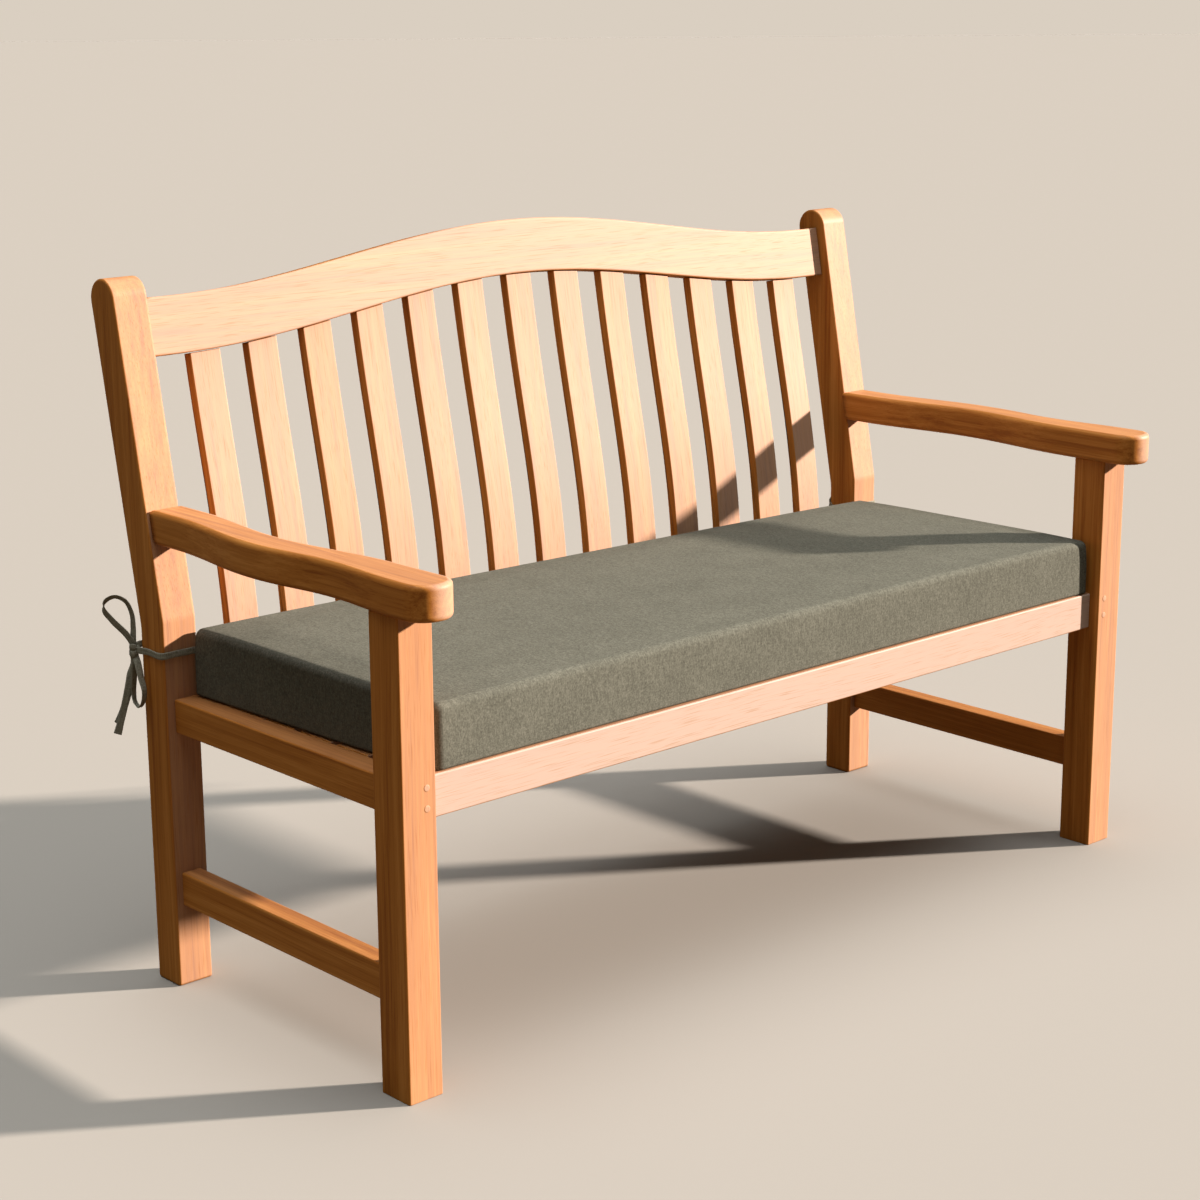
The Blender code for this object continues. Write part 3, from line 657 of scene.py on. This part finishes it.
def hardwood_material():
    """Oiled hardwood: orange-brown with darker lines and pores, satin.

    Faces turned towards the key lamp, low at the right front, are painted a pinkish tan
    by the share of each timber's tone: a painted highlight where that lamp falls.
    """
    material, tree, shader = new_material("oiled_hardwood")
    grain = add_node(tree, "ShaderNodeAttribute", attribute_name="grain").outputs["Vector"]
    tone = add_node(tree, "ShaderNodeAttribute", attribute_name="painted_highlight_share").outputs["Fac"]
    wood = add_node(tree, "ShaderNodeGroup", {"Grain": grain}, node_tree=straight_grain).outputs
    oiled = colour_ramp(tree, wood["Shade"], (
        (0.36, (0.31, 0.100, 0.014)), (0.45, (0.42, 0.155, 0.025)),
        (0.55, (0.49, 0.195, 0.037)), (0.63, (0.56, 0.240, 0.055))))
    # Painted highlight: the mask grows on faces turned towards the key lamp, whose direction this is.
    facing = add_node(tree, "ShaderNodeNewGeometry").outputs["Normal"]
    to_sun = add_node(tree, "ShaderNodeVectorMath", {0: facing, 1: (0.79, -0.53, 0.30)},
                      operation="DOT_PRODUCT").outputs["Value"]
    key_facing_highlight = mapped_value(tree, to_sun, from_min=0.15, from_max=0.50)
    share = add_node(tree, "ShaderNodeMath", {0: tone, 1: key_facing_highlight}, operation="MULTIPLY").outputs[0]
    # paler: the wood with its painted highlight, a pale pinkish tan by the tone's share.
    paler = mixed_colour(tree, share, oiled, (0.455, 0.362, 0.325, 1.0))
    bump = add_node(tree, "ShaderNodeBump", {
        "Height": wood["Height"], "Strength": 0.17, "Distance": 0.0006})
    feed(shader, {
        "Base Color": mixed_colour(tree, wood["Pores"], paler, (0.84, 0.74, 0.62, 1.0), "MULTIPLY"),
        "Roughness": mapped_value(tree, wood["Height"], to_min=0.40, to_max=0.60),
        "Normal": bump.outputs["Normal"], "Specular IOR Level": 0.22})
    return material


straight_grain = grain_group()
hardwood = hardwood_material()


# ---- Front legs
# Square legs with rounded arrises, which carry the arms. The front rail and the side rails
# are tenoned into them.

for side_name in ("left", "right"):
    squared_timber(f"front_leg_{side_name}", 2, arris=0.0030, tone=0.33)


# ---- Seat frame and stretchers
# Front rail, side rails and low side stretchers are tenoned into legs and posts. The seat
# boards run lengthwise between the side rails, on three bearers, under the cushion.

squared_timber("front_seat_rail", 0, arris=0.0025, tone=0.95)
for side_name in ("left", "right"):
    squared_timber(f"side_seat_rail_{side_name}", 1, arris=0.0025, tone=0.30)
    squared_timber(f"side_stretcher_{side_name}", 1, arris=0.0025, tone=0.25)
squared_timber("lower_back_rail", 0, arris=0.0020, tone=0.40)
for number in range(1, 7):
    squared_timber(f"seat_slat_{number}", 0, arris=0.0020, tone=0.45)
for number in range(1, 4):
    squared_timber(f"seat_bearer_{number}", 1, arris=0.0020, tone=0.30)


# ---- Rear posts
# Sawn from one plank: straight up to just above the seat, then leaning back, with a top
# rounded from front to back. They carry the arms' rear ends and the top rail.

post_bend = 0.5475
post_bend_radius = 0.05
post_foot_radius = 0.005
post_lean = radians(10.68)
leaning_depth = 0.0585


def post_outline():
    """Side view of a post in y and z, anticlockwise seen from +X."""
    along = np.array((sin(post_lean), cos(post_lean)))
    backwards = np.array((cos(post_lean), -sin(post_lean)))
    bend = np.array((post_front, post_bend))
    radius = leaning_depth / 2
    rise = (post_high[2] - post_bend + radius * (sin(post_lean) - 1)) / cos(post_lean) + radius
    rear_foot = bend + backwards * leaning_depth
    rear_bend = rear_foot[1] + (post_rear - rear_foot[0]) / tan(post_lean)
    top_front = bend + along * rise
    top_rear = top_front + backwards * leaning_depth
    nearly = radius * 0.999
    return rounded_outline(((post_front, 0, post_foot_radius), (post_rear, 0, post_foot_radius),
                            (post_rear, rear_bend, post_bend_radius), (*top_rear, nearly),
                            (*top_front, nearly), (*bend, post_bend_radius)), steps=12)


for side_name, side in sides:
    local = prism(post_outline(), (post_outside - post_inside) / 2, arris=0.0030)
    rings = np.stack((local[..., 2] + side * (post_outside + post_inside) / 2,
                      local[..., 0], local[..., 1]), axis=-1)
    timber(f"rear_post_{side_name}_timber", rings, along_z, [f"rear_post_{side_name}"], tone=0.38)


# ---- Arms
# Level boards, bowed outwards in plan and widening to a rounded front end. Their upper and
# lower arrises are well rounded. They lie on the front legs and butt against the posts.

arm_low, arm_high = (np.array(corner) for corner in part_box("arm_left"))
arm_half_thickness = (arm_high[2] - arm_low[2]) / 2
arm_height = (arm_high[2] + arm_low[2]) / 2
arm_front = arm_low[1]
arm_line = 0.7165
arm_half_width = 0.0275
arm_arris = 0.0065
arm_corner = 0.034
arm_bow = 0.020
arm_bow_place, arm_bow_reach = 0.300, 0.210           # behind the bench's front, and each way
arm_flare_outwards, arm_flare_length = 0.0135, 0.200
arm_flare_inwards = 0.2                               # as a share of the flare outwards
arm_cut_place, arm_cut_reach = 0.040, 0.030           # the rear end's cut to the posts' lean


def arm_middle(y):
    """|x| of the arm's middle line: straight but for one squared-cosine bow outwards."""
    reach = np.clip((y - bench_front - arm_bow_place) / arm_bow_reach, -1, 1)
    return arm_line + arm_bow * np.cos(pi * reach / 2) ** 2


def arm_flare(y):
    """How far the arm widens outwards: a soft step that grows towards the front end."""
    step = np.clip((arm_flare_length - (y - bench_front)) / arm_flare_length, 0, 1)
    return arm_flare_outwards * step * step * (3 - 2 * step)


def leaning_front(z):
    """y of the posts' leaning front faces at a height above the bend."""
    return post_front + (z - post_bend) * tan(post_lean)


def arm_outline():
    """The right arm's plan, anticlockwise: inner edge to the front, round, and back."""
    line = arm_front + arm_corner
    y = np.linspace(leaning_front(arm_height) - timber_gap, line, 48)
    inside = arm_middle(y) - arm_half_width - arm_flare_inwards * arm_flare(y)
    outside = arm_middle(y) + arm_half_width + arm_flare(y)
    inner_corner = arc_points((inside[-1] + arm_corner, line), arm_corner, 180, 270, 12)
    outer_corner = arc_points((outside[-1] - arm_corner, line), arm_corner, -90, 0, 12)
    return np.vstack((np.column_stack((inside, y))[:-1], inner_corner, outer_corner,
                      np.column_stack((outside, y))[::-1][1:]))


for side_name, side in sides:
    local = prism(arm_outline(), arm_half_thickness, arm_arris)
    near_post = np.clip((local[..., 1] - leaning_front(arm_height) + arm_cut_place) / arm_cut_reach, 0, 1)
    rings = np.stack((side * local[..., 0],
                      local[..., 1] + near_post * local[..., 2] * tan(post_lean),
                      arm_height + local[..., 2]), axis=-1)
    timber(f"arm_{side_name}_timber", rings, along_y, [f"arm_{side_name}"], tone=0.55)


# ---- Top rail
# A wide board between the posts, set a little behind their front faces and leaning with
# them. Its top and bottom edges are sawn to one long crest in the middle.

rail_setback = 0.0157                  # square to the leaning plane
rail_thickness = 0.030
rail_half_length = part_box("top_rail")[1][0]
rail_along = np.array((0.0, sin(post_lean), cos(post_lean)))
rail_back = np.array((0.0, cos(post_lean), -sin(post_lean)))
rail_foot = np.array((0.0, post_front, post_bend)) + rail_back * (rail_setback + rail_thickness / 2)
crest_half_length = 0.650
rail_low_height, rail_low_rise = 0.906, 0.060         # underside at the ends, and up to the crest
rail_top_height, rail_top_rise = 0.9875, 0.062


def up_the_lean(height):
    """Distance up the rail's front face from the posts' bend to a height."""
    return (height - post_bend + rail_setback * sin(post_lean)) / cos(post_lean)


def crest(x):
    """0 at the rail's ends and 1 in the middle: a squared cosine."""
    return np.where(np.abs(x) < crest_half_length, np.cos(pi * x / (2 * crest_half_length)) ** 2, 0.0)


def rail_underside(x):
    """Distance up the lean of the rail's underside."""
    return up_the_lean(rail_low_height + rail_low_rise * crest(x))


rail_x = np.linspace(-rail_half_length, rail_half_length, 81)
rail_top = up_the_lean(rail_top_height + rail_top_rise * crest(rail_x))
rail_outline = np.vstack((np.column_stack((rail_x, rail_underside(rail_x))),
                          np.column_stack((rail_x, rail_top))[::-1]))
local = prism(rail_outline, rail_thickness / 2, arris=0.0025)
rings = (rail_foot + local[..., 0:1] * np.array((1.0, 0.0, 0.0)) + local[..., 1:2] * rail_along
         - local[..., 2:3] * rail_back)
timber("top_rail_timber", rings, ((1, 0, 0), rail_along, rail_back), ["top_rail"], tone=0.60)


# ---- Back slats
# Thirteen slats sawn to a slow S from the side, which hollows the back for the sitter.
# They stand on the lower rail and end in the top rail's curved underside.

slat_count, slat_pitch = 13, 0.0998
slat_half_width = 0.026
slat_depth = 0.016 / cos(post_lean)
slat_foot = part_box("back_slat_07")[0][2]
slat_reach = 0.4600                    # nominal length, fitted to each slat's place
slat_y = bench_front + 0.551
slat_low, slat_rise, slat_lean = 0.440, 0.525, 0.087  # the chord's foot, its rise and its run back
slat_hollow, slat_sway = 0.0075, 0.0035
slat_top, slat_top_rise = 0.93, 0.03                  # about where the ends lie, outer and middle
slat_end = (0.0, 0.002, 0.012)                        # heights of rings that hold an end's arris
slat_grain = ((0, 0.17, 1), (1, 0, 0), (0, 1, -0.17))  # along the chord


def slat_front(z):
    """y of a slat's front face: a leaning chord less a half sine and a whole sine."""
    share = (z - slat_low) / slat_rise
    return slat_y + slat_lean * share - slat_hollow * np.sin(pi * share) - slat_sway * np.sin(2 * pi * share)


heights = np.concatenate((slat_end[:2], np.linspace(slat_end[2], slat_reach - slat_end[2], 30),
                          [slat_reach - slat_end[1], slat_reach]))
slat_outline = np.vstack((np.column_stack((np.zeros(len(heights)), heights))[::-1],
                          np.column_stack((np.full(len(heights), slat_depth), heights))))
for number in range(slat_count):
    x = (number - slat_count // 2) * slat_pitch
    depth, up, across = np.moveaxis(prism(slat_outline, slat_half_width, arris=0.0020), -1, 0)
    end_y = slat_front(slat_top + slat_top_rise * crest(x)) + depth - post_front
    top = post_bend + (rail_underside(x + across) - timber_gap - end_y * sin(post_lean)) / cos(post_lean)
    z = slat_foot + up / slat_reach * (top - slat_foot)
    rings = np.stack((x + across, slat_front(z) + depth, z), axis=-1)
    node = f"back_slat_{number + 1:02d}"
    timber(node + "_timber", rings, slat_grain, [node], tone=0.52)


# ---- Dowel ends
# The sawn ends of two dowels in each front leg, which lock the front rail's tenon. They
# stand a hair proud where oil has raised the end grain.

dowel_x = 0.7095
dowel_heights = (0.4248, 0.3970)
dowel_radii = np.array((0.0047, 0.0047, 0.0042, 0.0030, 0.0012))      # ring by ring
dowel_proud = np.array((-0.0008, 0.00010, 0.00035, 0.00042, 0.00045))

for side_name, side in sides:
    for number, height in enumerate(dowel_heights, 1):
        turns = np.linspace(0, 2 * pi, 33)[:-1]
        rings = np.empty((len(dowel_radii), len(turns), 3))
        rings[..., 0] = side * dowel_x + dowel_radii[:, None] * np.cos(turns)
        rings[..., 1] = bench_front - dowel_proud[:, None]
        rings[..., 2] = height + dowel_radii[:, None] * np.sin(turns)
        timber(f"dowel_end_{side_name}_{number}", rings, along_y, [], tone=0.55)


# ---- Cushion
# One box cushion of firm foam in a plain-weave cover. The cover is cut as a top, a bottom
# and side strips, sewn with plain seams, and its rounded upper edge is pulled smooth.

cushion_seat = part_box("cushion")[0][2]               # the underside, on the seat
cushion_corner_top = 0.5225
cushion_edge_rise = 0.0030             # the upper edge stands this much higher between corners
cushion_crown = 0.0030
cushion_lean = 0.0097                  # its left rear corner is plump, its right one flatter
cushion_front = -0.2940                # a hair behind the front rail's face
cushion_rear = post_front - 0.0026
cushion_half_front = 0.6915            # half length at the front, between the legs
cushion_half_rear = 0.7063             # and at the rear, in front of the posts
cushion_squeeze = 0.0170               # its left front corner is pushed in this far by the leg
cushion_foot = 0.0040                  # the lower edge bulges this far where it bears
cushion_pull = 0.0025                  # the sides are drawn in this far between the corners
cushion_side_swell = 0.0025            # and swell this far at half height
cushion_low_power = 1.25               # over 1 keeps more of the height's steps low down
cushion_rounding = np.array((0.0110, 0.0110, 0.0095))
cushion_faces = 0.0064                 # about the size of the mesh's faces
cushion_slack = 0.0030                 # the cover starts this much small, before it fills
cushion_bulge = 0.0010                 # the foam lets it stray no further than this
cushion_evening = 14                   # rounds of evening, which leave no creases
cushion_bearing = 0.012                # the cover doesn't stray this near the seat
bearing_reach = 0.020                  # and strays more and more over this next stretch


def cushion_place(along, deep, high):
    """Where points of a -1 to 1 box lie on the cushion.

    The plan tapers from the rear to the front. The sides are drawn in between the corners,
    swell at half height and bulge at the foot. The left front corner is pushed in. The top
    rises from its corners to the edges and a low crown, and towards the rear it leans from
    left to right. The power of the height makes the lower edge, on which the cushion rests,
    rounder in depth than in height.
    """
    top = (cushion_corner_top + cushion_edge_rise * (2 - along ** 6 - deep ** 4)
           + cushion_crown * (1 - along ** 2) * (1 - deep ** 2)
           - cushion_lean * along * (1 + deep) / 2)
    swell = -cushion_side_swell * high ** 2 + cushion_foot * np.clip(-high, 0, 1) ** 6
    half_length = ((cushion_half_front + cushion_half_rear) / 2
                   + deep * (cushion_half_rear - cushion_half_front) / 2
                   + swell - cushion_pull * (1 - deep ** 2))
    half_depth = (cushion_rear - cushion_front) / 2 + swell - cushion_pull * (1 - along ** 8)
    squeezed = cushion_squeeze * (1 - along) / 2 * ((1 - deep) / 2) ** 6
    height = (top - cushion_seat) * ((high + 1) / 2) ** cushion_low_power
    return np.stack((along * half_length + squeezed,
                     (cushion_front + cushion_rear) / 2 + deep * half_depth,
                     cushion_seat + height), axis=-1)


def panel_lines(inner, rounding):
    """Places across a rounded box, even on its flat, and then in steps of 9 degrees.

    Past the flat a place is rounding * tan(angle) further out, up to 45 degrees. The second
    result is how far the cloth has run there, rounding * angle past the flat.
    """
    flat = np.linspace(0, inner, int(inner / cushion_faces) + 2)[:-1]
    angles = np.radians(np.linspace(0, 45, 6))
    place = np.concatenate((flat, inner + rounding * np.tan(angles)))
    run = np.concatenate((flat, inner + rounding * angles))
    return np.concatenate((-place[:0:-1], place)), np.concatenate((-run[:0:-1], run))


def cushion_mesh():
    """The cushion's six panels as grids on a rounded box, joined, with cloth coordinates.

    A point of the box is split into the nearest point of its flat core and the rest, which
    is set to length one in units of the rounding: core + rounding * unit(rest / rounding).
    The cloth lies flat on the top, x by y, and folds down over every edge without a break.
    """
    size = np.array((cushion_half_rear, (cushion_rear - cushion_front) / 2,
                     (cushion_corner_top - cushion_seat) / 2))
    inner = size - cushion_rounding
    places, runs = zip(*(panel_lines(*pair) for pair in zip(inner, cushion_rounding)))
    edge_run = inner + cushion_rounding * pi / 4
    points, faces, cloth, count = [], [], [], 0
    for fixed in range(3):
        first, second = [axis for axis in range(3) if axis != fixed]
        for sign in (-1, 1):
            grid = np.empty((len(places[first]), len(places[second]), 3))
            grid[..., first] = places[first][:, None]
            grid[..., second] = places[second][None, :]
            grid[..., fixed] = sign * size[fixed]
            core = np.clip(grid, -inner, inner)
            on_box = core + cushion_rounding * unit((grid - core) / cushion_rounding)
            points.append(cushion_place(*np.moveaxis(on_box / size, -1, 0)).reshape(-1, 3))
            panel = np.zeros(grid.shape)
            panel[..., 0] = runs[first][:, None]
            if fixed == 2:
                panel[..., 1] = runs[second] + (1 - sign) * 2
            else:
                panel[..., 1] = sign * (edge_run[fixed] + edge_run[2] - runs[second])
                panel[..., 2] = 1
            cloth.append(panel.reshape(-1, 3))
            rows, columns = grid.shape[:2]
            corner = np.arange(rows - 1)[:, None] * columns + np.arange(columns - 1) + count
            corner = corner.ravel()
            faces.append(np.column_stack((corner, corner + columns, corner + columns + 1, corner + 1)))
            count += rows * columns
    faces = np.vstack(faces)
    mesh = bpy.data.meshes.new("cushion_cover")
    mesh.from_pydata(np.vstack(points).tolist(), [], faces.tolist())
    add_values(mesh, "cloth", "FLOAT_VECTOR", np.vstack(cloth)[faces.ravel()], "CORNER")
    shape = bmesh.new()
    shape.from_mesh(mesh)
    bmesh.ops.remove_doubles(shape, verts=shape.verts, dist=0.00002)
    bmesh.ops.recalc_face_normals(shape, faces=shape.faces)
    shape.to_mesh(mesh)
    shape.free()
    return mesh


def mesh_points(mesh, field="co"):
    """The mesh's points, or the normals at them, as an N x 3 array."""
    values = np.empty(len(mesh.vertices) * 3, np.float32)
    mesh.vertices.foreach_get(field, values)
    return values.reshape(-1, 3).astype(float)


def set_points(mesh, points):
    """Move the mesh's points to the rows of an N x 3 array."""
    mesh.vertices.foreach_set("co", points.astype(np.float32).ravel())
    mesh.update()


def evened(mesh, values, rounds):
    """The points' values, each averaged with its neighbours' mean, round after round."""
    ends = np.empty(len(mesh.edges) * 2, np.int32)
    mesh.edges.foreach_get("vertices", ends)
    one, other = ends[0::2], ends[1::2]
    count = len(values)
    neighbours = np.bincount(one, minlength=count) + np.bincount(other, minlength=count)
    for _ in range(rounds):
        total = (np.bincount(one, values[other], minlength=count)
                 + np.bincount(other, values[one], minlength=count))
        values = (values + total / neighbours) / 2
    return values


def filled(skin, slack):
    """How far each point moves outwards when the cover fills from a slightly small start.

    The cover is cloth under pressure, without gravity. The result is measured along the
    normals of the foam's own shape, whose mesh is left as it was.
    """
    mesh = skin.data
    foam, outward = mesh_points(mesh), mesh_points(mesh, "normal")
    set_points(mesh, foam - outward * slack)
    cloth = skin.modifiers.new("cloth", "CLOTH")
    cloth.settings.quality = 5
    cloth.settings.mass = 0.3
    cloth.settings.tension_stiffness = 25
    cloth.settings.compression_stiffness = 25
    cloth.settings.bending_stiffness = 1.5
    cloth.settings.use_pressure = True
    cloth.settings.uniform_pressure_force = 4.0
    cloth.settings.effector_weights.gravity = 0.0
    cloth.collision_settings.use_collision = False
    scene = bpy.context.scene
    for step in range(1, 21):
        scene.frame_set(step)
    view = bpy.context.evaluated_depsgraph_get()
    full = mesh_points(skin.evaluated_get(view).data)
    skin.modifiers.clear()
    scene.frame_set(1)
    set_points(mesh, foam)
    return ((full - foam) * outward).sum(axis=1), foam, outward


def cover_material():
    """The cover's cloth. On the side strips the upright warp shows more than on the top."""
    material, weave, mark = cloth_material("cover_cloth", (
        (0.068, 0.072, 0.061), (0.108, 0.114, 0.098), (0.156, 0.164, 0.142)), pitch=0.0013, relief=0.35)
    feed(weave, {"Warp Share": mapped_value(material.node_tree, mark, to_min=0.50, to_max=0.66)})
    return material


cushion = bpy.data.objects.new("cushion_cover", cushion_mesh())
bpy.context.scene.collection.objects.link(cushion)
swell, foam, outward = filled(cushion, cushion_slack)
off_seat = np.clip((foam[:, 2] - cushion_seat - cushion_bearing) / bearing_reach, 0, 1)
limited = cushion_bulge * np.tanh((swell - np.median(swell)) / cushion_bulge)
swell = evened(cushion.data, limited, cushion_evening) * off_seat
set_points(cushion.data, foam + outward * swell[:, None])
cushion.data.shade_smooth()
cushion.data.materials.clear()
cushion.data.materials.append(cover_material())
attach(cushion, "root")
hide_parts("cushion")


# ---- Floor and light
# A plain pale floor, a warm key lamp low at the right front, where the photograph's light
# comes from, and a soft surround that is brightest overhead and fills the shadows.

floor_half = 220.0
key_heading = radians(56)              # of the lamp's place, from -Y towards +X
key_height = radians(17.5)
key_distance = 6.0


def floor_material():
    """Pale matt floor that throws little light back up, so the timbers' shaded sides stay dark."""
    material, tree, shader = new_material("floor_paint")
    seen = add_node(tree, "ShaderNodeLightPath").outputs["Is Camera Ray"]
    paint = mixed_colour(tree, seen, (0.105, 0.082, 0.056, 1.0), (0.34, 0.335, 0.325, 1.0))
    feed(shader, {"Base Color": paint, "Roughness": 0.9, "Specular IOR Level": 0.0})
    return material


def soft_surround():
    """The studio's surround: a dome bright overhead, seen by the camera as one pale tone."""
    surround = bpy.data.worlds.new("surround")
    surround.use_nodes = True
    tree = surround.node_tree
    way = add_node(tree, "ShaderNodeTexCoord").outputs["Generated"]
    upwards = add_node(tree, "ShaderNodeSeparateXYZ", {"Vector": way}).outputs["Z"]
    bright = colour_ramp(tree, upwards, (
        (0.0, (0.28, 0.245, 0.185)), (0.80, (0.21, 0.195, 0.160)),
        (0.92, (5.9, 5.75, 5.4)), (1.0, (10.1, 9.8, 9.2))))
    dome = tree.nodes["Background"]
    feed(dome, {"Color": bright, "Strength": 0.48})
    backdrop = add_node(tree, "ShaderNodeBackground", {
        "Color": (0.876, 0.780, 0.666, 1.0), "Strength": 0.80})
    seen = add_node(tree, "ShaderNodeLightPath").outputs["Is Camera Ray"]
    shown = add_node(tree, "ShaderNodeMixShader", {
        0: seen, 1: dome.outputs["Background"], 2: backdrop.outputs["Background"]})
    feed(tree.nodes["World Output"], {"Surface": shown.outputs["Shader"]})
    return surround


floor_mesh = bpy.data.meshes.new("floor")
floor_mesh.from_pydata([(-floor_half, -floor_half, 0), (floor_half, -floor_half, 0),
                        (floor_half, floor_half, 0), (-floor_half, floor_half, 0)], [], [(0, 1, 2, 3)])
floor_mesh.materials.append(floor_material())
floor = bpy.data.objects.new("floor", floor_mesh)
bpy.context.scene.collection.objects.link(floor)

key_data = bpy.data.lights.new("low_key", "SUN")
key_data.energy = 11.7
key_data.color = (1.0, 0.835, 0.695)
key_data.angle = radians(2.5)
key = bpy.data.objects.new("low_key", key_data)
to_key = np.array((sin(key_heading) * cos(key_height), -cos(key_heading) * cos(key_height),
                   sin(key_height)))
beside_key = unit(np.cross((0, 0, 1), to_key))
key.matrix_world = Matrix.Translation(to_key * key_distance) @ Matrix(
    np.column_stack((beside_key, np.cross(to_key, beside_key), to_key)).tolist()).to_4x4()
bpy.context.scene.collection.objects.link(key)

bpy.context.scene.world = soft_surround()
bpy.context.scene.view_settings.view_transform = "Standard"
